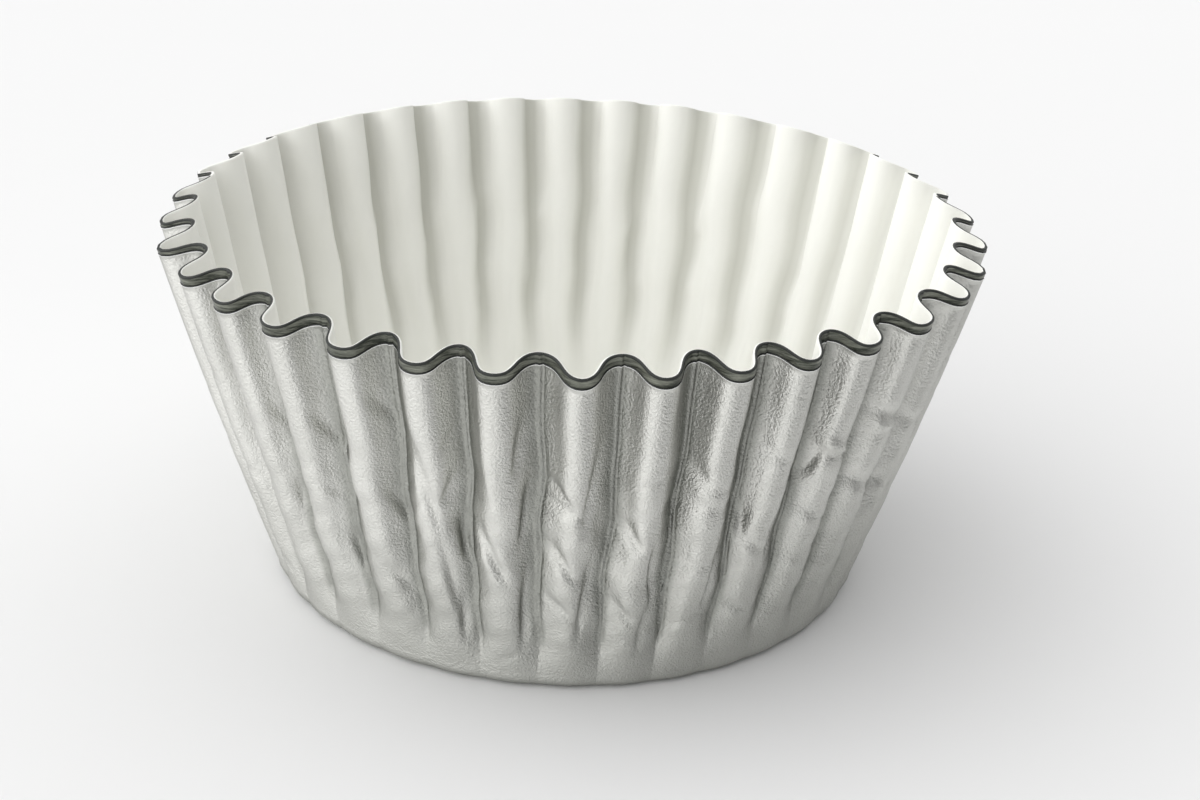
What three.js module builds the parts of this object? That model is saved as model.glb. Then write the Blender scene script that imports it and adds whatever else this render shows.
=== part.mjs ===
// Foil baking cup: one disc of foil laminate pressed into a flat base and a fluted, flared wall.
// Millimetres, +Z up. The origin is the centre of the underside, on the surface the cup stands on.

import * as THREE from 'three';

// Overall form
const flute_count = 35;           // flutes around the cup
const cup_height = 31.0;          // underside to the rim, at the valleys between flutes
const rim_tip_drop = 0.9;         // how much lower the rim is at a flute's tip than in a valley
const rim_tip_radius = 33.5;      // axis to a flute's tip at the rim
const rim_flute_depth = 2.3;      // tip to valley at the rim
const wall_bulge = 0.25;          // how far the wall bows out of a straight line, half way up
const wall_thickness = 0.3;       // laminate, foil and lining together

// Base
const base_radius = 25.4;         // axis to a flute's tip where the wall meets the base's rounded edge
const base_flute_depth = 0.45;    // tip to valley there, before the flutes die out around that edge
const base_edge_radius = 1.4;     // rounding between the base and the wall

// Section of a flute: an even round wave at the rim, a lobe with a sharp crease in each valley at the base
const base_crease = 0.85;         // 0 is an even wave, 1 is a lobe with a sharp crease
const flute_swell = 0.04;         // how far tips and valleys are widened at the rim, in flutes
const depth_growth = 0.75;        // power by which the flutes deepen from base to rim

// Facets
const columns_per_flute = 8;
const wall_rows = 5;
const edge_rows = 2;

// Colours and finishes seen in the photograph
const foil_colour = '#b4b5b0';
const foil_roughness = 0.42;
const foil_metalness = 0.85;

const column_count = flute_count * columns_per_flute;
const swell_turn = flute_swell * 2 * Math.PI / flute_count;
const wall_steps = [...Array(wall_rows + 1).keys()].map((row) => row / wall_rows);
const edge_turns = [...Array(edge_rows).keys()].map((row) => (row / edge_rows) * Math.PI / 2);

function blend(start, end, share) {
  return start + (end - start) * share;
}

// Wave of a flute's section: 1 at the tip, -1 in the valley
function flute_wave(angle, crease) {
  const phase = flute_count * angle;
  const even = Math.cos(phase);
  const lobed = 2 * Math.abs(Math.cos(phase / 2)) - 1;
  return blend(even, lobed, crease);
}

// Point of the outer face on the wall: share is 0 at the base's rounded edge and 1 at the rim
function wall_point(angle, share) {
  const depth = blend(base_flute_depth, rim_flute_depth, share ** depth_growth);
  const crease = blend(base_crease, 0, share);
  const inset = depth * (1 - flute_wave(angle, crease)) / 2;
  const bow = wall_bulge * 4 * share * (1 - share);
  const radius = blend(base_radius, rim_tip_radius, share) + bow - inset;
  const tip_share = 1 - inset / depth;
  const rim_height = cup_height - rim_tip_drop * tip_share;
  const height = blend(base_edge_radius, rim_height, share);
  const turned = angle + share * swell_turn * Math.sin(2 * flute_count * angle);
  return new THREE.Vector3(radius * Math.cos(turned), radius * Math.sin(turned), height);
}

// Direction square to the wall's outer face, pointing away from the axis
function wall_normal(angle, share) {
  const step = 1e-3;
  const low = Math.max(0, share - step);
  const high = Math.min(1, share + step);
  const around = wall_point(angle + step, share).sub(wall_point(angle - step, share));
  const upward = wall_point(angle, high).sub(wall_point(angle, low));
  return around.cross(upward).normalize();
}

// Axis to the outermost point of the rounded edge: the flutes die out towards the round underside
function edge_reach(angle, turn) {
  const top = wall_point(angle, 0);
  const inset = base_radius - Math.hypot(top.x, top.y);
  return base_radius - inset * Math.sin(turn);
}

// Point on the rounded edge: turn is 0 underneath and a quarter circle at the wall, and the
// inner face keeps the outer one's centre, with the wall taken off its radius
function edge_point(angle, turn, depth) {
  const round_radius = base_edge_radius - depth;
  const radius = edge_reach(angle, turn) - base_edge_radius + round_radius * Math.sin(turn);
  const height = base_edge_radius - round_radius * Math.cos(turn);
  return new THREE.Vector3(radius * Math.cos(angle), radius * Math.sin(angle), height);
}

function inner_wall_point(angle, share) {
  const outer = wall_point(angle, share);
  return outer.addScaledVector(wall_normal(angle, share), -wall_thickness);
}

// Rings of points: out along the underside, up the wall, over the rim and down to the floor
function profile_rings() {
  const rings = [];
  edge_turns.forEach((turn) => rings.push((angle) => edge_point(angle, turn, 0)));
  wall_steps.forEach((share) => rings.push((angle) => wall_point(angle, share)));
  [...wall_steps].reverse().forEach((share) => rings.push((angle) => inner_wall_point(angle, share)));
  [...edge_turns].reverse().forEach((turn) => rings.push((angle) => edge_point(angle, turn, wall_thickness)));
  return rings;
}

function cup_geometry() {
  const positions = [];
  const faces = [];
  const rings = profile_rings();
  for (const ring of rings) {
    for (let column = 0; column < column_count; column += 1) {
      const point = ring(2 * Math.PI * column / column_count);
      positions.push(point.x, point.y, point.z);
    }
  }
  for (let row = 0; row + 1 < rings.length; row += 1) {
    for (let column = 0; column < column_count; column += 1) {
      const next = (column + 1) % column_count;
      const lower_left = row * column_count + column;
      const lower_right = row * column_count + next;
      const upper_left = lower_left + column_count;
      const upper_right = lower_right + column_count;
      faces.push(lower_left, lower_right, upper_right);
      faces.push(lower_left, upper_right, upper_left);
    }
  }
  const underside_centre = positions.length / 3;
  positions.push(0, 0, 0);
  const floor_centre = positions.length / 3;
  positions.push(0, 0, wall_thickness);
  const last_ring = (rings.length - 1) * column_count;
  for (let column = 0; column < column_count; column += 1) {
    const next = (column + 1) % column_count;
    faces.push(underside_centre, next, column);
    faces.push(floor_centre, last_ring + column, last_ring + next);
  }
  const geometry = new THREE.BufferGeometry();
  geometry.setAttribute('position', new THREE.Float32BufferAttribute(positions, 3));
  geometry.setIndex(faces);
  geometry.computeVertexNormals();
  return geometry;
}

function fluted_cup() {
  const material = new THREE.MeshStandardMaterial({
    color: foil_colour,
    roughness: foil_roughness,
    metalness: foil_metalness,
  });
  const mesh = new THREE.Mesh(cup_geometry(), material);
  mesh.name = 'fluted_cup';
  return mesh;
}

const baking_cup = new THREE.Group();
baking_cup.add(fluted_cup());

export default baking_cup;
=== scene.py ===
"""Looks of the foil baking cup: pressed flutes, wrinkles, rim and lining, finishes, light and camera."""
import math

import bpy
import numpy as np
from mathutils import Matrix, Vector


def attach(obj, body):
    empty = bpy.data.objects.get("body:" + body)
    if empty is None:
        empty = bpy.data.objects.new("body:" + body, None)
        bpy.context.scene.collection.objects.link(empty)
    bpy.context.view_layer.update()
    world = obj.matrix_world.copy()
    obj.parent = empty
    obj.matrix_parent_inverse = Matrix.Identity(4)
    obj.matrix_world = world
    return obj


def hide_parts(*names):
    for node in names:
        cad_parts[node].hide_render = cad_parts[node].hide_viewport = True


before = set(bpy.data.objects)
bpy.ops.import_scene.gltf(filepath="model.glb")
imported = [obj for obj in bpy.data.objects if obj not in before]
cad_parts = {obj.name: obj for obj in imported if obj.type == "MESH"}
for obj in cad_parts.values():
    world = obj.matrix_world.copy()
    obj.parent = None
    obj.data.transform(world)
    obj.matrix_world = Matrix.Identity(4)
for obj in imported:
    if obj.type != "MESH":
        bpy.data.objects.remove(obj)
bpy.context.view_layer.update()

MM = 0.001

# Overall form, in millimetres, as the solid has it
FLUTE_COUNT = 35
CUP_HEIGHT = 31.0         # underside to the rim, at the valleys between flutes
RIM_TIP_DROP = 0.9        # how much lower the rim is at a flute's tip than in a valley
RIM_TIP_RADIUS = 33.5
RIM_FLUTE_DEPTH = 2.3     # tip to valley
WALL_BULGE = 0.25         # how far the wall bows out of a straight line, half way up
WALL_THICKNESS = 0.3
BASE_RADIUS = 25.4
BASE_FLUTE_DEPTH = 0.45
BASE_EDGE_RADIUS = 1.4
BASE_CREASE = 0.85        # 0 is an even wave, 1 is a lobe with a sharp crease
DEPTH_GROWTH = 0.75       # power by which the flutes deepen from base to rim
WALL_LENGTH = math.hypot(RIM_TIP_RADIUS - BASE_RADIUS, CUP_HEIGHT - BASE_EDGE_RADIUS)

# The pressed flutes, uneven where the solid's are even. A share of the wall is 0 at the foot, 1 at the rim.
FLUTE_FOOT = 0.45         # the flutes die out at the wall's foot to this share of their depth
FLUTE_FOOT_SHARE = 0.12   # share of the wall over which they do
FLUTE_SWELL = 0.03        # widens tips and valleys at the rim, in flutes
SIDE_SWELL = 0.055        # the same at the sides
SIDE_SWELL_DEG = (20.0, 55.0)   # angles from the front over which one turns into the other
DEPTH_SPREAD = 0.10       # share by which the flutes' depths differ
SKEW_SPREAD = 0.16        # how far a flute leans to one side, in radians of its wave
SEED = 11

# How far each flute's tip stands from even spacing, in degrees, from the flute on +X round by +Y
FLUTE_SHIFT_DEG = [
    0.8, 1.8, 1.6, 1.5, 1.0, 1.8, 2.6, 2.4, 1.8, 1.2, 0.7, 0.2, -0.3, -0.9, -1.6, -2.2, -2.2,
    -1.5, -1.0, -0.5, -0.3, -0.4, -0.3, 0.5, 0.3, -0.1, 0.3, 0.2, -0.4, -1.0, -1.5, -1.1, 0.0,
    -0.3, -0.3,
]
# How much further out than the even rim each flute's tip stands, in the same order
FLUTE_OUT = [
    0.0, 0.0, 0.0, 0.0, 0.0, 0.0, 0.0, 0.0, 0.0, 0.0, 0.0, 0.0, 0.0, 0.0, 0.0, 0.0, 0.0,
    0.0, 0.2, 0.7, 0.45, 0.3, 0.2, 0.1, 0.0, 0.0, 0.0, 0.0, 0.0, 0.0, 0.1, 0.3, 0.45,
    0.4, 0.25,
]
# How far down the dark strip reaches from each flute's rim, in the same order. It is narrowest at both sides.
BAND_HEIGHT = [
    0.05, 0.1, 0.3, 0.5, 0.6, 0.6, 0.6, 0.6, 0.6, 0.6, 0.6, 0.6, 0.6, 0.6, 0.5, 0.3, 0.1,
    0.12, 0.30, 0.38, 0.72, 0.80, 0.80, 0.80, 0.80, 0.80, 0.80, 0.80, 0.80, 0.80, 0.80, 0.76, 0.52,
    0.45, 0.12,
]

# Columns and rows of the mesh. The flutes on the side that shows most are divided more finely.
FINE_FLUTES = range(20, 33)
FINE_COLUMNS = 34
SIDE_FLUTES = (0, 17, 18, 19, 33, 34)
SIDE_COLUMNS = 20
PLAIN_COLUMNS = 10
VALLEY_CROWDING = 0.075   # pulls columns towards the valleys, where the creases are
WALL_ROWS = 85
ROW_GROWTH = 1.12         # power that sets the wall's rows closer at its foot
INNER_ROWS = 24
EDGE_ROWS = 5
FLOOR_RINGS = (0.55, 0.85)   # share of the floor's radius
NORMAL_STEP = 2e-3        # step for working out the wall's normal

# The cup's material slots, in order
FOIL, BAND, LINE, LIP, LINING = range(5)


def blend(start, end, share):
    return start + (end - start) * share


def smooth_step(low, high, value):
    """0 at low and 1 at high, easing in and out between them. Low may be the greater one."""
    share = np.clip((value - low) / (high - low), 0.0, 1.0)
    return share * share * (3.0 - 2.0 * share)


def around(values, position):
    """Value at a position counted in flutes, smoothly joined between the flutes all the way round."""
    values = np.asarray(values)
    low = np.floor(position).astype(int)
    share = position - low
    share = share * share * (3.0 - 2.0 * share)
    count = len(values)
    return values[low % count] * (1.0 - share) + values[(low + 1) % count] * share


def flute_table(generator, spread):
    return generator.uniform(-spread, spread, FLUTE_COUNT)


RANDOM = np.random.default_rng(SEED)
FLUTE_DEPTH_CHANGE = flute_table(RANDOM, DEPTH_SPREAD)
FLUTE_SKEW = flute_table(RANDOM, SKEW_SPREAD)
PHASES = RANDOM.uniform(0.0, 2.0 * math.pi, (4, FLUTE_COUNT))
WANDER_PHASES = PHASES[:2]
CRUSH_PHASES = PHASES[2:]

# Round the cup, in degrees
FRONT_DEG = -90.0         # the side that the photograph shows, from +X round by +Y
CALM_FROM_DEG = (45.0, 70.0)     # angles from the front between which the crushing fades towards the sides
CALM_TO_DEG = (135.0, 110.0)     # and those between which it fades from the back
CALM = 0.75               # share of the crushing that the sides lack


def from_front(position):
    """Angle from the middle of the front, in degrees."""
    angle = 360.0 * position / FLUTE_COUNT
    return np.abs((angle - FRONT_DEG + 180.0) % 360.0 - 180.0)


def crushed(position):
    """How strongly the wall is crushed: 1 round the front and the back, less at the sides."""
    turn = from_front(position)
    return 1.0 - CALM * smooth_step(*CALM_FROM_DEG, turn) * smooth_step(*CALM_TO_DEG, turn)


# Drift of the fold lines
WANDER_REACH = 0.055      # in flutes
WANDER_TOP = (0.95, 0.55)        # shares of the wall between which it fades in from the rim
WANDER_FOOT = (0.0, 0.2)         # and from the foot
WANDER_WAVES = ((9.0, 0.6), (21.0, 0.4))   # each wave's radians up the wall and its part


def wander(position, share):
    """Sideways drift of the fold lines where the wall was crushed, in flutes."""
    strength = WANDER_REACH * smooth_step(*WANDER_TOP, share) * smooth_step(*WANDER_FOOT, share)
    strength = strength * crushed(position)
    waves = [
        part * np.sin(radians * share + around(phases, position))
        for (radians, part), phases in zip(WANDER_WAVES, WANDER_PHASES)
    ]
    return strength * sum(waves)


# Creases of the foil, placed on the flutes that show: where each starts and ends, as a flute (whole
# numbers are tips, halves are valleys) and a height in millimetres, then its width and its depth. A crease
# deepens towards its end, where the foil is pinched. A negative depth is a ridge.
PLACED_CREASES = [
    (21.36, 21.4, 21.46, 19.4, 0.8, 0.26), (21.42, 15.0, 21.36, 12.3, 0.7, 0.20),
    (22.28, 22.8, 22.48, 20.0, 1.0, 0.22), (22.40, 11.8, 22.46, 8.8, 0.7, 0.22),
    (22.1, 16.5, 22.4, 15.2, 0.8, 0.15), (23.24, 26.2, 23.46, 24.0, 1.0, 0.20),
    (23.30, 17.8, 23.48, 14.6, 1.0, 0.22), (23.0, 10.5, 23.3, 8.5, 0.9, 0.16),
    (23.84, 23.2, 24.05, 15.8, 0.9, 0.24), (24.05, 15.8, 24.20, 7.5, 0.8, 0.20),
    (24.40, 24.2, 24.20, 22.4, 0.5, 0.16), (24.44, 20.8, 24.16, 17.6, 1.0, 0.26),
    (24.38, 16.4, 24.40, 12.4, 0.7, 0.24), (24.34, 9.5, 24.28, 4.6, 0.8, 0.20),
    (24.65, 15.8, 25.02, 11.0, 0.8, 0.34), (25.34, 25.8, 25.20, 21.0, 0.7, 0.22),
    (25.44, 21.0, 25.30, 15.0, 0.7, 0.24), (25.38, 13.2, 25.28, 4.6, 0.8, 0.24),
    (24.85, 26.0, 24.98, 17.3, 1.1, -0.12), (24.88, 2.6, 25.18, 3.6, 0.5, 0.10),
    (25.56, 20.6, 25.95, 18.5, 0.7, 0.30), (25.54, 19.0, 26.06, 17.5, 0.7, 0.28),
    (25.58, 14.8, 25.98, 11.6, 0.8, 0.36), (25.60, 9.6, 25.95, 7.6, 0.6, 0.24),
    (26.28, 23.6, 26.10, 16.0, 0.7, 0.24), (26.25, 12.4, 26.12, 5.4, 0.8, 0.26),
    (26.60, 17.2, 26.96, 14.0, 0.9, 0.30), (26.58, 9.2, 26.92, 6.9, 0.7, 0.22),
    (26.86, 20.2, 27.22, 21.3, 0.4, 0.16), (27.12, 16.0, 27.24, 9.0, 0.7, 0.24),
    (27.20, 8.6, 27.12, 3.8, 0.8, 0.20), (26.70, 12.0, 26.95, 11.2, 0.6, 0.12),
    (27.55, 21.8, 27.85, 19.9, 1.0, 0.26), (27.70, 19.2, 28.10, 18.7, 0.5, -0.18),
    (27.62, 17.9, 28.05, 17.6, 0.8, 0.16), (27.62, 5.9, 27.98, 7.0, 0.5, 0.16),
    (28.26, 14.0, 28.20, 8.0, 0.8, 0.20), (27.75, 12.6, 28.0, 12.0, 0.5, 0.10),
    (28.64, 22.6, 29.00, 21.1, 0.6, 0.22), (28.55, 17.4, 28.62, 14.2, 0.9, 0.26),
    (28.62, 14.2, 28.98, 12.6, 0.8, 0.26), (28.60, 7.8, 28.94, 6.7, 0.6, 0.24),
    (29.24, 18.0, 29.16, 12.0, 0.8, 0.16), (28.80, 19.2, 29.10, 19.6, 0.9, -0.10),
    (29.54, 18.0, 29.72, 20.4, 1.0, 0.32), (29.60, 22.3, 30.16, 20.2, 0.6, -0.22),
    (29.75, 15.3, 30.05, 14.1, 0.6, 0.24), (29.72, 20.4, 30.12, 20.0, 0.8, 0.22),
    (29.70, 10.2, 29.95, 9.6, 0.7, -0.10), (30.62, 23.0, 31.20, 21.2, 0.8, 0.28),
    (30.70, 21.4, 31.25, 20.8, 0.7, -0.16), (30.58, 16.8, 31.10, 15.0, 0.8, 0.28),
    (31.60, 20.2, 32.15, 18.4, 0.9, 0.24), (31.55, 14.4, 32.00, 13.0, 0.8, 0.20),
    (32.55, 21.0, 33.05, 19.4, 0.9, 0.20),
]

# The flutes round the back get scattered creases instead
HIDDEN_FLUTES = (33, 34, *range(21))
HIDDEN_LEVELS = (7.0, 22.0)      # heights of the lowest and the highest one on a flute
HIDDEN_PER_FLUTE = 3
HIDDEN_LEVEL_SPREAD = 1.8
HIDDEN_REACH = (0.3, 0.5)        # sideways, in flutes
HIDDEN_LEAD = (0.15, 0.4)        # how far before the flute's tip it starts
HIDDEN_DROP = (1.2, 3.2)
HIDDEN_WIDTH = 0.8
HIDDEN_DEPTH = (0.14, 0.26)


def scattered_creases(generator):
    creases = []
    for flute in HIDDEN_FLUTES:
        for level in np.linspace(*HIDDEN_LEVELS, HIDDEN_PER_FLUTE):
            height = level + generator.uniform(-HIDDEN_LEVEL_SPREAD, HIDDEN_LEVEL_SPREAD)
            reach = generator.uniform(*HIDDEN_REACH)
            start = flute - generator.uniform(*HIDDEN_LEAD)
            end_height = height - generator.uniform(*HIDDEN_DROP)
            depth = generator.uniform(*HIDDEN_DEPTH)
            creases.append((start, height, start + reach, end_height, HIDDEN_WIDTH, depth))
    return creases


CREASES = PLACED_CREASES + scattered_creases(RANDOM)

# Shape of every crease
CREASE_SCALE = 1.5        # one factor for the depth of all creases
CREASE_START = 1.45       # width at a crease's start, of the width given
CREASE_END = 0.7          # width at its pinched end
SHORT_CREASE = 3.6        # creases shorter than this, in millimetres, are shallower and reach past their ends
STEEP_BANK = 0.60         # width of a crease's lower bank, as a share of the upper one's
BANK_FALL = 2.6           # how sharply both banks fall away from the middle
FADE_IN = (-0.25, 0.55)   # shares of a crease's length between which it deepens
FADE_OUT = (0.7, 1.2)     # and between which it ends
MEAN_PITCH = 5.4          # spacing of the flutes half way up, for the slant of a crease
DENT_LIMIT = 0.45         # no dent goes deeper, in millimetres


def one_crease(crease, position, height, pitch, spread):
    """How far a crease presses the wall in, in millimetres."""
    start, start_height, end, end_height, width, depth = crease
    side = (position - start + FLUTE_COUNT / 2) % FLUTE_COUNT - FLUTE_COUNT / 2
    run_x = (end - start) * MEAN_PITCH
    run_z = end_height - start_height
    length = math.hypot(run_x, run_z)
    x = side * pitch
    z = height - start_height
    along = (x * run_x + z * run_z) / length ** 2
    narrowed = spread * width * blend(CREASE_START, CREASE_END, np.clip(along, 0.0, 1.0))
    across = (z * run_x - x * run_z) / length / narrowed
    bank = np.where(across < 0, across / STEEP_BANK, across)
    spare = max(0.0, SHORT_CREASE / length - 1.0) / 2
    begun = smooth_step(FADE_IN[0] - spare, FADE_IN[1], along)
    fade = begun * smooth_step(FADE_OUT[1] + spare, FADE_OUT[0], along)
    strength = CREASE_SCALE * min(1.0, length / SHORT_CREASE)
    return strength * depth * fade * np.exp(-(bank * bank) * BANK_FALL)


def crease_relief(position, height, radius, spread):
    """How far the creases move the wall out or in, in millimetres. A spread over 1 widens them."""
    relief = np.zeros_like(position)
    pitch = 2.0 * math.pi * radius / FLUTE_COUNT
    for crease in CREASES:
        relief -= one_crease(crease, position, height, pitch, spread)
    return relief


# Low waves of the crushed foil: radians to a millimetre of height and to a flute, then size in millimetres
CRUSH_SLOW = (1.15, 3.4, 0.05)
CRUSH_QUICK = (2.7, 6.3, 0.025)
CRUSH_TOP = (0.85, 0.5)          # shares of the wall between which they fade in from the rim
CRUSH_FOOT = (0.02, 0.15)        # and from the foot


def crush_relief(position, height, share):
    """Low uneven waves left where the foil was pressed together, stronger low on the wall."""
    slow_rise, slow_turn, slow_size = CRUSH_SLOW
    quick_rise, quick_turn, quick_size = CRUSH_QUICK
    zone = smooth_step(*CRUSH_TOP, share) * smooth_step(*CRUSH_FOOT, share)
    slow = np.sin(slow_rise * height + around(CRUSH_PHASES[0], position) + slow_turn * position)
    quick = np.sin(quick_rise * height - around(CRUSH_PHASES[1], position) - quick_turn * position)
    return zone * (slow_size * slow + quick_size * quick)


def flute_wave(position, crease):
    """Section of the flutes: 1 at a tip, -1 in a valley."""
    phase = 2.0 * math.pi * position
    phase = phase + around(FLUTE_SKEW, position) * np.sin(phase)
    even = np.cos(phase)
    lobed = 2.0 * np.abs(np.cos(phase / 2.0)) - 1.0
    return blend(even, lobed, crease)


def flute_depth(position, share):
    """Tip to valley, in millimetres."""
    depth = blend(BASE_FLUTE_DEPTH, RIM_FLUTE_DEPTH, share ** DEPTH_GROWTH)
    depth = depth * blend(FLUTE_FOOT, 1.0, smooth_step(0.0, FLUTE_FOOT_SHARE, share))
    return depth * (1.0 + around(FLUTE_DEPTH_CHANGE, position))


def flute_angle(position, moved, share):
    """Angle round the axis, in radians, with tips and valleys widened and the flutes unevenly spaced."""
    swell = blend(FLUTE_SWELL, SIDE_SWELL, smooth_step(*SIDE_SWELL_DEG, from_front(position))) * share
    swollen = position + swell * np.sin(4.0 * math.pi * moved)
    shift = np.radians(around(FLUTE_SHIFT_DEG, position))
    return 2.0 * math.pi * swollen / FLUTE_COUNT + shift


def wall_sheet(position, share):
    """Smooth outer face of the wall: (angle, radius, height) in radians and millimetres."""
    moved = position + wander(position, share)
    wave = flute_wave(moved, blend(BASE_CREASE, 0.0, share))
    inset = flute_depth(position, share) * (1.0 - wave) / 2.0
    bow = WALL_BULGE * 4.0 * share * (1.0 - share)
    radius = blend(BASE_RADIUS, RIM_TIP_RADIUS, share) + bow - inset
    radius = radius + around(FLUTE_OUT, position) * share * (1.0 + wave) / 2.0
    rim_height = CUP_HEIGHT - RIM_TIP_DROP * (1.0 + wave) / 2.0
    height = blend(BASE_EDGE_RADIUS, rim_height, share)
    return flute_angle(position, moved, share), radius, height


def sheet_points(position, share):
    angle, radius, height = wall_sheet(position, share)
    return np.stack([radius * np.cos(angle), radius * np.sin(angle), height], -1)


def wall_normals(position, share):
    low = np.maximum(0.0, share - NORMAL_STEP)
    high = np.minimum(1.0, share + NORMAL_STEP)
    across = sheet_points(position + NORMAL_STEP, share) - sheet_points(position - NORMAL_STEP, share)
    upward = sheet_points(position, high) - sheet_points(position, low)
    normals = np.cross(across, upward)
    return normals / np.linalg.norm(normals, axis=-1, keepdims=True)


# The doubled line in each fold, a ridge with a gutter beside it, in millimetres
PINCH_WIDTH = 0.09
PINCH_GAP = 0.2           # from the ridge to the gutter
PINCH_RIDGE = 0.10
PINCH_GUTTER = 0.09
PINCH_FOOT = (0.02, 0.16)        # shares of the wall between which it fades in from the foot
LOW_PINCH = 0.55          # share of its height that it has at the wall's foot
PINCH_GROWS = (0.1, 0.5)         # shares of the wall between which it gets its full height
FOOT_PITCH = 4.6          # spacing of the flutes at the wall's foot
RIM_PITCH = 6.0           # and at the rim


def valley_pinch(position, share):
    """Fine doubled line in each valley, where the foil is nipped together."""
    moved = position + wander(position, share)
    from_valley = (moved % 1.0) - 0.5
    away = from_valley * blend(FOOT_PITCH, RIM_PITCH, share)
    zone = smooth_step(*PINCH_FOOT, share) * blend(LOW_PINCH, 1.0, smooth_step(*PINCH_GROWS, share))
    ridge = np.exp(-((away / PINCH_WIDTH) ** 2))
    gutter = np.exp(-(((away - PINCH_GAP) / PINCH_WIDTH) ** 2))
    return zone * (PINCH_RIDGE * ridge - PINCH_GUTTER * gutter)


# Painted shade of the foil and the lining, 0 to 1, kept on the mesh. A pair is where it begins and where it
# is full.
FOLD_SHADE_TURN = (0.30, 0.46)   # painted shade in the folds, where the flutes shade each other: flutes from the tip
FOLD_SHADE_FOOT = (0.0, 0.15)    # and shares of the wall
LOW_WALL_SHADE = 0.6      # painted shade low on the wall, most between the flutes named below
LOW_WALL_LEAST = 0.3      # share of that on the other flutes
LOW_WALL_ZONE = (0.6, 0.05)      # shares of the wall
# flutes over which the painted low shade grows to full and then fades again: the front and right, away from
# the light
LOW_SHADE_FROM = (20.0, 24.0)
LOW_SHADE_TO = (34.0, 32.0)
EDGE_SHADE = 1.0          # painted shade where the base's edge turns under, a dark contact line at the foot
GROOVE_SHADE_TURN = 0.1   # the lining's painted shade lies beside the flute's tip, on the flank away from the light, in flutes
GROOVE_SHADE_REACH = (0.34, 0.04)   # flutes from its middle
GROOVE_SHADE_FOOT = (0.0, 0.4)      # shares of the wall
GROOVE_SIDE_SHADE = 0.35  # the lining's shade at the sides, where its grooves are seen from along them
GROOVE_BACK_DEG = (95.0, 140.0)  # angles from the front over which it grows towards the back


def painted_foil_shade(position, share):
    """How much painted shade the foil has: 0 on clear lobes, 1 in the valleys where the flutes shade each
    other, and some low on the wall.
    """
    moved = position + wander(position, share)
    from_tip = np.abs((moved + 0.5) % 1.0 - 0.5)
    # painted shade in the valleys, where the flutes shade each other
    valley_shade = smooth_step(*FOLD_SHADE_TURN, from_tip) * smooth_step(*FOLD_SHADE_FOOT, share)
    # painted shade low on the wall, fuller on the front and right, away from the light
    away_from_light = smooth_step(*LOW_SHADE_FROM, position) * smooth_step(*LOW_SHADE_TO, position)
    pressed = LOW_WALL_SHADE * blend(LOW_WALL_LEAST, 1.0, away_from_light) * smooth_step(*LOW_WALL_ZONE, share)
    return np.maximum(valley_shade, pressed)


def groove_shade(position, share):
    """How much painted shade the lining has in the grooves that the flutes make inside."""
    moved = position + wander(position, share)
    from_tip = np.abs((moved + 0.5 - GROOVE_SHADE_TURN) % 1.0 - 0.5)
    towards_back = blend(GROOVE_SIDE_SHADE, 1.0, smooth_step(*GROOVE_BACK_DEG, from_front(position)))
    return towards_back * smooth_step(*GROOVE_SHADE_REACH, from_tip) * smooth_step(*GROOVE_SHADE_FOOT, share)


# The lining
INNER_SPREAD = 1.8        # how much wider the dents are in it
INNER_CLEARANCE = 0.05    # how much thicker the crushed part of the wall is, in millimetres
CLEARANCE_FOOT = (0.02, 0.12)    # shares of the wall between which that fades in from the foot
CLEARANCE_TOP = (0.97, 0.85)     # and from the rim


def relief_at(position, share, spread=1.0):
    _, radius, height = wall_sheet(position, share)
    creases = crease_relief(position, height, radius, spread)
    relief = crushed(position) * (creases + crush_relief(position, height, share))
    return np.maximum(relief, -DENT_LIMIT)


def outer_points(position, share, proud):
    relief = relief_at(position, share) + valley_pinch(position, share) + proud
    return sheet_points(position, share) + wall_normals(position, share) * relief[..., None]


def inner_points(position, share, thickness):
    """Inner face, with the outer one's dents showing through it, wider and softer."""
    clearance = INNER_CLEARANCE * smooth_step(*CLEARANCE_FOOT, share) * smooth_step(*CLEARANCE_TOP, share)
    inset = thickness + clearance - np.minimum(relief_at(position, share, INNER_SPREAD), 0.0)
    return sheet_points(position, share) - wall_normals(position, share) * inset[..., None]


def edge_points(position, turn, depth):
    """Rounded edge of the base: turn is 0 underneath and a quarter circle at the wall."""
    angle, radius, _ = wall_sheet(position, np.zeros_like(position))
    reach = BASE_RADIUS - (BASE_RADIUS - radius) * math.sin(turn)
    round_radius = BASE_EDGE_RADIUS - depth
    radius = reach - BASE_EDGE_RADIUS + round_radius * math.sin(turn)
    height = np.full_like(radius, BASE_EDGE_RADIUS - round_radius * math.cos(turn))
    return np.stack([radius * np.cos(angle), radius * np.sin(angle), height], -1)


def disc_points(position, share, height):
    angle, _, _ = wall_sheet(position, np.zeros_like(position))
    radius = np.full_like(position, share * (BASE_RADIUS - BASE_EDGE_RADIUS))
    return np.stack([radius * np.cos(angle), radius * np.sin(angle), np.full_like(radius, height)], -1)


def columns_in(flute):
    if flute in FINE_FLUTES:
        return FINE_COLUMNS
    if flute in SIDE_FLUTES:
        return SIDE_COLUMNS
    return PLAIN_COLUMNS


def column_positions():
    """Places of the mesh's columns, counted in flutes."""
    places = []
    for flute in range(FLUTE_COUNT):
        count = columns_in(flute)
        share = np.arange(count) / count
        places.append(flute - 0.5 + share - VALLEY_CROWDING * np.sin(2.0 * math.pi * share))
    return np.concatenate(places)


def along_folds(column, share):
    """Places of the columns moved with the folds' drift, so that the mesh's edges run along the folds."""
    return column - wander(column, share)


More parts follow.
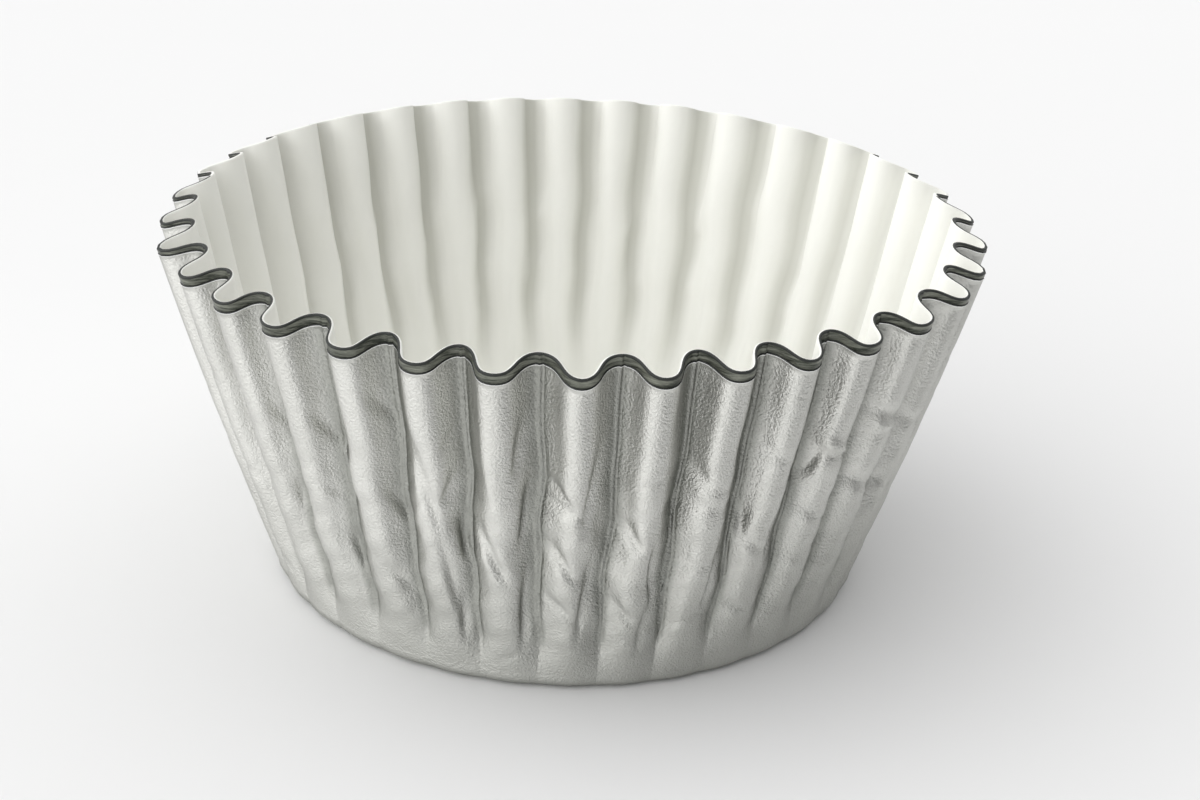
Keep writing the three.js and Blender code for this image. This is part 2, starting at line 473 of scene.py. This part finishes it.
# The rim's dressed edge, in millimetres down the wall, with how far the face stands proud there
BAND_LINE = 0.15          # dark line along the strip's upper edge
BAND_LEAST = 0.06         # least width of the strip below that line
BAND_HOLLOW = 0.02        # how far the strip's middle is sunk
BAND_EDGE = 0.03          # run of the groove's upper wall
GROOVE_WIDTH = 0.09
GROOVE_DEPTH = 0.05
GROOVE_EDGE = 0.02        # run of the groove's lower wall
LIP_WIDTH = 0.11
LIP_PROUD = 0.045
LIP_RUN = 0.3             # share of its width over which the lip rises
RIM_BEVEL = 0.05
RIM_TURN = 0.2            # a ring this far down the inside keeps the rounded shading to the rim

# The rim's top edge
DARK_EDGE_FROM = 16.5     # the valleys between which it is dark, counted in flutes
DARK_EDGE_TO = 35.5
LINE_REACH = (0.6, 0.85)         # share of the wall's thickness that is dark, in front and at the sides
LINE_REACH_DEG = (45.0, 75.0)    # angles from the front over which one turns into the other


def dark_edge(position):
    """Where the rim's top edge is dark: round the front, as far as the sides."""
    return (position > DARK_EDGE_FROM) | (position < DARK_EDGE_TO - FLUTE_COUNT)


def share_below_rim(distance):
    return 1.0 - distance / WALL_LENGTH


def band_bottom(position):
    """How far below the rim the dark strip ends."""
    return np.maximum(around(BAND_HEIGHT, position), BAND_LINE + BAND_LEAST)


def lip_bottom(position):
    """How far below the rim the pale lip under the strip ends."""
    return band_bottom(position) + GROOVE_WIDTH + LIP_WIDTH


def base_rings(position):
    """The underside and the base's rounded edge. Each ring here is (points, material above it, shade)."""
    rings = [(disc_points(position, share, 0.0), FOIL, 0.0) for share in FLOOR_RINGS]
    for row in range(EDGE_ROWS):
        turn = math.pi / 2 * row / EDGE_ROWS
        # painted contact shade along the base's edge, darkest underneath
        shade = blend(EDGE_SHADE, LOW_WALL_SHADE, row / EDGE_ROWS)
        rings.append((edge_points(position, turn, 0.0), FOIL, shade))
    return rings


def outer_wall_rings(position):
    """The foil, from the base's edge up to the lip."""
    rings = []
    top = share_below_rim(lip_bottom(position))
    for row in range(WALL_ROWS):
        share = top * (row / WALL_ROWS) ** ROW_GROWTH
        moved = along_folds(position, share)
        rings.append((outer_points(moved, share, 0.0), FOIL, painted_foil_shade(moved, share)))
    return rings


def rim_rings(position):
    """The dressed rim, from the pale lip up through the groove and the dark strip."""
    band = band_bottom(position)
    down = lip_bottom(position)
    rows = [
        (down, 0.0, LIP),
        (down - LIP_RUN * LIP_WIDTH, LIP_PROUD, LIP),
        (band + GROOVE_WIDTH + GROOVE_EDGE, LIP_PROUD, LINE),
        (band + GROOVE_WIDTH, -GROOVE_DEPTH, LINE),
        (band, -GROOVE_DEPTH, LINE),
        (band - BAND_EDGE, 0.0, BAND),
        (blend(BAND_LINE, band, 0.5), -BAND_HOLLOW, BAND),
        (np.full_like(band, BAND_LINE), 0.0, LINE),
        (np.full_like(band, RIM_BEVEL), 0.0, LINE),
    ]
    rings = []
    for distance, proud, material in rows:
        share = share_below_rim(distance)
        rings.append((outer_points(position, share, proud), material, painted_foil_shade(position, share)))
    return rings


def top_edge_rings(position):
    """The rim's top edge, dark where dark_edge says."""
    top = np.ones_like(position)
    edge_slots = np.where(dark_edge(position), LINE, LINING)
    line_reach = blend(*LINE_REACH, smooth_step(*LINE_REACH_DEG, from_front(position)))
    return [
        (inner_points(position, top, RIM_BEVEL), edge_slots, 0.0),
        (inner_points(position, top, line_reach * WALL_THICKNESS), LINING, 0.0),
    ]


def inner_wall_rings(position):
    """The lining, from the rim down to the foot of the wall."""
    rings = []
    levels = [share_below_rim(RIM_BEVEL), share_below_rim(RIM_TURN)]
    levels += [1.0 - (row + 1) / (INNER_ROWS + 1) for row in range(INNER_ROWS)]
    for level in levels:
        share = np.full_like(position, level)
        moved = along_folds(position, share)
        rings.append((inner_points(moved, share, WALL_THICKNESS), LINING, groove_shade(moved, share)))
    return rings


def floor_rings(position):
    """The lining round the inner edge of the base and over the cup's floor."""
    rings = []
    for row in range(EDGE_ROWS):
        turn = math.pi / 2 * (1.0 - row / EDGE_ROWS)
        rings.append((edge_points(position, turn, WALL_THICKNESS), LINING, 0.0))
    rings += [(disc_points(position, share, WALL_THICKNESS), LINING, 0.0) for share in reversed(FLOOR_RINGS)]
    return rings


def cup_rings():
    """All rings, from the underside's middle up the outside, over the rim and down to the floor's middle."""
    position = column_positions()
    stretches = (base_rings, outer_wall_rings, rim_rings, top_edge_rings, inner_wall_rings, floor_rings)
    return [ring for stretch in stretches for ring in stretch(position)]


def ring_faces(rings):
    """Faces between neighbouring rings and the fans that close both ends, and each face's material."""
    columns = len(rings[0][0])
    column = np.arange(columns)
    following = (column + 1) % columns
    faces, slots = [], []
    for row in range(len(rings) - 1):
        low, high = row * columns, (row + 1) * columns
        faces += np.stack([low + column, low + following, high + following, high + column], -1).tolist()
        slots += np.broadcast_to(rings[row][1], columns).tolist()
    last = (len(rings) - 1) * columns
    under, over = last + columns, last + columns + 1
    faces += np.stack([np.full(columns, under), following, column], -1).tolist()
    slots += [FOIL] * columns
    faces += np.stack([np.full(columns, over), last + column, last + following], -1).tolist()
    slots += [LINING] * columns
    return faces, slots


def ring_mesh(name, rings):
    """Closed mesh through the rings, with a middle point under the first and one over the last."""
    middles = [[[0, 0, 0], [0, 0, WALL_THICKNESS]]]
    points = np.concatenate([ring[0] for ring in rings] + middles) * MM
    shade = np.concatenate([np.broadcast_to(ring[2], len(ring[0])) for ring in rings] + [[0.0, 0.0]])
    faces, slots = ring_faces(rings)
    mesh = bpy.data.meshes.new(name)
    mesh.from_pydata(points.tolist(), [], faces)
    mesh.polygons.foreach_set("use_smooth", np.ones(len(faces), bool))
    mesh.polygons.foreach_set("material_index", np.array(slots, np.int32))
    # the crease attribute holds the painted shade of folds, the low wall, the base's edge and the lining's
    # grooves
    mesh.attributes.new("crease", "FLOAT", "POINT").data.foreach_set("value", shade.astype(np.float32))
    mesh.update()
    return mesh


def new_object(name, data):
    made = bpy.data.objects.new(name, data)
    bpy.context.scene.collection.objects.link(made)
    return made


# Materials. Noise scales are features to a metre of the cup, and bump distances are metres.
EVEN = (1.0, 1.0, 1.0)


def new_material(name):
    material = bpy.data.materials.new(name)
    material.use_nodes = True
    tree = material.node_tree
    return material, tree, tree.nodes["Principled BSDF"]


def node(tree, kind, **settings):
    made = tree.nodes.new(kind)
    for key, value in settings.items():
        setattr(made, key, value)
    return made


def object_place(tree, scale):
    """Place on the object, stretched along each axis."""
    place = node(tree, "ShaderNodeTexCoord")
    stretch = node(tree, "ShaderNodeMapping")
    stretch.inputs["Scale"].default_value = scale
    tree.links.new(place.outputs["Object"], stretch.inputs["Vector"])
    return stretch.outputs["Vector"]


def noise(tree, vector, scale, detail=3.0, roughness=0.55):
    made = node(tree, "ShaderNodeTexNoise")
    made.inputs["Scale"].default_value = scale
    made.inputs["Detail"].default_value = detail
    made.inputs["Roughness"].default_value = roughness
    tree.links.new(vector, made.inputs["Vector"])
    return made.outputs["Fac"]


def span(tree, value, low, high, low_in=0.3, high_in=0.7):
    """Maps a noise's middle range onto low to high."""
    made = node(tree, "ShaderNodeMapRange")
    made.inputs["From Min"].default_value = low_in
    made.inputs["From Max"].default_value = high_in
    made.inputs["To Min"].default_value = low
    made.inputs["To Max"].default_value = high
    tree.links.new(value, made.inputs["Value"])
    return made.outputs["Result"]


def colour_span(tree, value, dark, pale, low_in=0.3, high_in=0.7):
    ramp = node(tree, "ShaderNodeValToRGB")
    ramp.color_ramp.elements[0].position = low_in
    ramp.color_ramp.elements[0].color = (*dark, 1.0)
    ramp.color_ramp.elements[1].position = high_in
    ramp.color_ramp.elements[1].color = (*pale, 1.0)
    tree.links.new(value, ramp.inputs["Fac"])
    return ramp.outputs["Color"]


def bump(tree, height, distance, strength, under=None):
    made = node(tree, "ShaderNodeBump")
    made.inputs["Distance"].default_value = distance
    made.inputs["Strength"].default_value = strength
    tree.links.new(height, made.inputs["Height"])
    if under is not None:
        tree.links.new(under, made.inputs["Normal"])
    return made.outputs["Normal"]


def lifted_normal(tree, lift):
    """The face's normal turned up, so that the flared wall mirrors the studio and not only the table."""
    face = node(tree, "ShaderNodeNewGeometry")
    raised = node(tree, "ShaderNodeVectorMath", operation="ADD")
    raised.inputs[1].default_value = (0.0, 0.0, lift)
    tree.links.new(face.outputs["Normal"], raised.inputs[0])
    unit = node(tree, "ShaderNodeVectorMath", operation="NORMALIZE")
    tree.links.new(raised.outputs["Vector"], unit.inputs[0])
    return unit.outputs["Vector"]


def shaded_colour(tree, colour, shade_colour):
    """The colour, mixed towards a darker one by the painted shade kept on the mesh."""
    mix = node(tree, "ShaderNodeMix", data_type="RGBA")
    mix.inputs["B"].default_value = (*shade_colour, 1.0)
    shade = node(tree, "ShaderNodeAttribute", attribute_name="crease")
    tree.links.new(shade.outputs["Fac"], mix.inputs["Factor"])
    tree.links.new(colour, mix.inputs["A"])
    return mix.outputs["Result"]


def set_inputs(shader, values):
    for name, value in values.items():
        shader.inputs[name].default_value = value


def foil_material():
    """Satin foil: a fine pressed grain, faint slanting scuffs and cloudier and clearer patches."""
    material, tree, shader = new_material("foil")
    even = object_place(tree, EVEN)
    slanted = object_place(tree, (1.0, 1.0, 0.25))
    clouds = noise(tree, even, 160.0, 4.0)
    grain = noise(tree, even, 5200.0, 2.0, 0.6)
    scuffs = noise(tree, slanted, 1500.0, 5.0, 0.65)
    clear = colour_span(tree, clouds, (0.59, 0.59, 0.56), (0.65, 0.65, 0.62))
    # darkened towards the painted shade colour in the folds, low on the wall and at the base's edge
    tree.links.new(shaded_colour(tree, clear, (0.33, 0.335, 0.31)), shader.inputs["Base Color"])
    tree.links.new(span(tree, clouds, 0.37, 0.42), shader.inputs["Roughness"])
    rolled = node(tree, "ShaderNodeTangent", direction_type="RADIAL", axis="Z")
    tree.links.new(rolled.outputs["Tangent"], shader.inputs["Tangent"])
    rippled = bump(tree, scuffs, distance=0.00006, strength=0.08, under=lifted_normal(tree, 0.44))
    grained = bump(tree, grain, distance=0.0001, strength=0.85, under=rippled)
    tree.links.new(grained, shader.inputs["Normal"])
    set_inputs(shader, {"Metallic": 0.95, "Anisotropic": 0.5, "Anisotropic Rotation": 0.25})
    set_inputs(shader, {"Specular Tint": (0.6, 0.6, 0.6, 1.0)})
    return material


def band_material():
    """The rim's dark grey-green strip, streaked along its length."""
    material, tree, shader = new_material("rim_band")
    streaks = noise(tree, object_place(tree, (0.5, 0.5, 5.0)), 900.0, 5.0, 0.7)
    colour = colour_span(tree, streaks, (0.02, 0.025, 0.016), (0.26, 0.27, 0.225), 0.38, 0.66)
    tree.links.new(colour, shader.inputs["Base Color"])
    tree.links.new(span(tree, streaks, 0.3, 0.5), shader.inputs["Roughness"])
    tree.links.new(bump(tree, streaks, distance=0.00004, strength=0.5), shader.inputs["Normal"])
    set_inputs(shader, {"Metallic": 0.4})
    return material


def line_material():
    """The dark lines along the strip and the rim's top edge."""
    material, tree, shader = new_material("rim_line")
    streaks = noise(tree, object_place(tree, EVEN), 1200.0)
    colour = colour_span(tree, streaks, (0.004, 0.006, 0.004), (0.016, 0.019, 0.015))
    tree.links.new(colour, shader.inputs["Base Color"])
    set_inputs(shader, {"Roughness": 0.45})
    return material


def lip_material():
    """The lip under the strip, painted pale as a highlight where light catches its raised edge."""
    material, tree, shader = new_material("rim_lip")
    streaks = noise(tree, object_place(tree, EVEN), 900.0)
    # painted highlight: near-white colour for light caught on the raised lip
    colour = colour_span(tree, streaks, (0.78, 0.79, 0.77), (0.95, 0.95, 0.94))
    tree.links.new(colour, shader.inputs["Base Color"])
    set_inputs(shader, {"Metallic": 0.2, "Roughness": 0.4})
    return material


def lining_material():
    """White greaseproof paper, with a faint fibre and cloud."""
    material, tree, shader = new_material("lining")
    even = object_place(tree, EVEN)
    fibres = noise(tree, object_place(tree, (1.0, 1.0, 0.4)), 2600.0, 4.0, 0.6)
    clouds = noise(tree, even, 120.0)
    clear = colour_span(tree, clouds, (0.885, 0.885, 0.845), (0.91, 0.91, 0.87))
    # darkened towards the painted shade colour in the grooves
    tree.links.new(shaded_colour(tree, clear, (0.60, 0.60, 0.55)), shader.inputs["Base Color"])
    tree.links.new(bump(tree, fibres, distance=0.00003, strength=0.35), shader.inputs["Normal"])
    set_inputs(shader, {"Roughness": 0.75, "Specular IOR Level": 0.3})
    return material


def floor_material():
    material, tree, shader = new_material("floor")
    clouds = noise(tree, object_place(tree, EVEN), 6.0)
    colour = colour_span(tree, clouds, (0.835, 0.835, 0.835), (0.845, 0.845, 0.845))
    tree.links.new(colour, shader.inputs["Base Color"])
    set_inputs(shader, {"Roughness": 0.85, "Specular IOR Level": 0.1})
    return material


# Camera: where the photograph was taken from, worked out from the rim and the base
CAMERA_DISTANCE = 175.0        # from the middle of the rim
CAMERA_HEIGHT_DEG = 19.2       # above the rim's level
CAMERA_SIDE_DEG = -3.7         # round from straight in front
CAMERA_LOOK_DOWN_DEG = 24.43
CAMERA_LOOK_RIGHT_DEG = 0.92
CAMERA_ROLL_DEG = 2.28
CAMERA_LENS = 63.45
CAMERA_CLIP_START = 0.01       # in metres
SENSOR_WIDTH = 36.0


def camera_facing():
    """The camera's axes, before it is turned round from straight in front."""
    down = math.radians(CAMERA_LOOK_DOWN_DEG)
    right_turn = math.radians(CAMERA_LOOK_RIGHT_DEG)
    roll = math.radians(CAMERA_ROLL_DEG)
    level = math.cos(down)
    ahead = Vector((math.sin(right_turn) * level, math.cos(right_turn) * level, -math.sin(down)))
    right = ahead.cross(Vector((0.0, 0.0, 1.0))).normalized()
    up = right.cross(ahead)
    rolled_right = right * math.cos(roll) + up * math.sin(roll)
    rolled_up = up * math.cos(roll) - right * math.sin(roll)
    return Matrix((rolled_right, rolled_up, -ahead)).transposed().to_4x4()


def add_camera():
    height = math.radians(CAMERA_HEIGHT_DEG)
    above = CAMERA_DISTANCE * math.sin(height) + CUP_HEIGHT
    facing = camera_facing()
    facing.translation = Vector((0.0, -CAMERA_DISTANCE * math.cos(height), above)) * MM
    camera_data = bpy.data.cameras.new("camera")
    camera_data.lens = CAMERA_LENS
    camera_data.sensor_width = SENSOR_WIDTH
    camera_data.clip_start = CAMERA_CLIP_START
    camera = new_object("camera", camera_data)
    camera.matrix_world = Matrix.Rotation(math.radians(CAMERA_SIDE_DEG), 4, "Z") @ facing
    bpy.context.scene.camera = camera


# Light: a pale studio. A glow begins and is full where a direction's cosine with its middle has these values.
LEFT_GLOW = {
    "direction": (-0.92, -0.38, 0.25),
    "facing_from": 0.05,
    "facing_to": 0.9,
    "strength": 1.92,
    "flatness": 2.2,
}
OVERHEAD_GLOW = {
    "direction": (0.22, 0.4, 1.0),
    "facing_from": 0.35,
    "facing_to": 0.92,
    "strength": 1.06,
}
ALL_ROUND = 0.05          # light from everywhere else


def add_soft_sun(name, from_deg, height_deg, spread_deg, strength):
    """Even soft light from a direction: from_deg is the side it comes from, counted from +X round by +Y."""
    light_data = bpy.data.lights.new(name, "SUN")
    light_data.energy = strength
    light_data.angle = math.radians(spread_deg)
    light = new_object(name, light_data)
    side, height = math.radians(from_deg), math.radians(height_deg)
    source = Vector((math.cos(side) * math.cos(height), math.sin(side) * math.cos(height), math.sin(height)))
    light.rotation_euler = source.to_track_quat("Z", "Y").to_euler()


def soft_glow(tree, direction, facing_from, facing_to, strength, flatness=1.0):
    """Brightness of a large soft source in the given direction, fading out around it.

    With a flatness over 1 it is wide but low.
    """
    ray = node(tree, "ShaderNodeTexCoord")
    stretch = node(tree, "ShaderNodeVectorMath", operation="MULTIPLY")
    stretch.inputs[1].default_value = (1.0, 1.0, flatness)
    tree.links.new(ray.outputs["Generated"], stretch.inputs[0])
    unit = node(tree, "ShaderNodeVectorMath", operation="NORMALIZE")
    tree.links.new(stretch.outputs["Vector"], unit.inputs[0])
    facing = node(tree, "ShaderNodeVectorMath", operation="DOT_PRODUCT")
    facing.inputs[1].default_value = Vector(direction).normalized()
    tree.links.new(unit.outputs["Vector"], facing.inputs[0])
    glow = node(tree, "ShaderNodeMapRange", interpolation_type="SMOOTHSTEP")
    glow.inputs["From Min"].default_value = facing_from
    glow.inputs["From Max"].default_value = facing_to
    glow.inputs["To Max"].default_value = strength
    tree.links.new(facing.outputs["Value"], glow.inputs["Value"])
    return glow.outputs["Result"]


def add_light():
    """A pale studio, brightest from the left and overhead, with a weak soft sun for the shadow."""
    world = bpy.data.worlds.new("studio")
    bpy.context.scene.world = world
    world.use_nodes = True
    tree = world.node_tree
    both = node(tree, "ShaderNodeMath", operation="ADD")
    tree.links.new(soft_glow(tree, **LEFT_GLOW), both.inputs[0])
    tree.links.new(soft_glow(tree, **OVERHEAD_GLOW), both.inputs[1])
    total = node(tree, "ShaderNodeMath", operation="ADD")
    total.inputs[1].default_value = ALL_ROUND
    tree.links.new(both.outputs["Value"], total.inputs[0])
    background = tree.nodes["Background"]
    tree.links.new(total.outputs["Value"], background.inputs["Strength"])
    background.inputs["Color"].default_value = (1.0, 1.0, 1.0, 1.0)
    add_soft_sun("key", from_deg=155.0, height_deg=50.0, spread_deg=50.0, strength=0.14)


# Floor, in metres: flat round the cup, then rising gently to its edge, so that it fills low views too
FLOOR_FLAT = 2.5
FLOOR_REACH = 8.0
FLOOR_RISE = 0.7
FLOOR_STEPS = 8
FLOOR_SIDES = 64


def floor_circle(radius, height):
    turns = [2.0 * math.pi * side / FLOOR_SIDES for side in range(FLOOR_SIDES)]
    return [(radius * math.cos(turn), radius * math.sin(turn), height) for turn in turns]


def floor_mesh():
    points = []
    for step in range(FLOOR_STEPS + 1):
        share = step / FLOOR_STEPS
        points += floor_circle(blend(FLOOR_FLAT, FLOOR_REACH, share), FLOOR_RISE * share ** 2)
    faces = [tuple(range(FLOOR_SIDES))]
    for step in range(FLOOR_STEPS):
        for side in range(FLOOR_SIDES):
            near = step * FLOOR_SIDES + side
            near_next = step * FLOOR_SIDES + (side + 1) % FLOOR_SIDES
            faces.append((near, near + FLOOR_SIDES, near_next + FLOOR_SIDES, near_next))
    mesh = bpy.data.meshes.new("floor")
    mesh.from_pydata(points, [], faces)
    mesh.polygons.foreach_set("use_smooth", np.ones(len(faces), bool))
    return mesh


def add_floor():
    mesh = floor_mesh()
    mesh.materials.append(floor_material())
    new_object("floor", mesh)


def add_cup():
    cup = new_object("pressed_cup", ring_mesh("pressed_cup", cup_rings()))
    for material in (foil_material(), band_material(), line_material(), lip_material(), lining_material()):
        cup.data.materials.append(material)
    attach(cup, "root")
    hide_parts("fluted_cup")


add_camera()
add_floor()
add_light()
add_cup()
bpy.context.scene.view_settings.view_transform = "Standard"
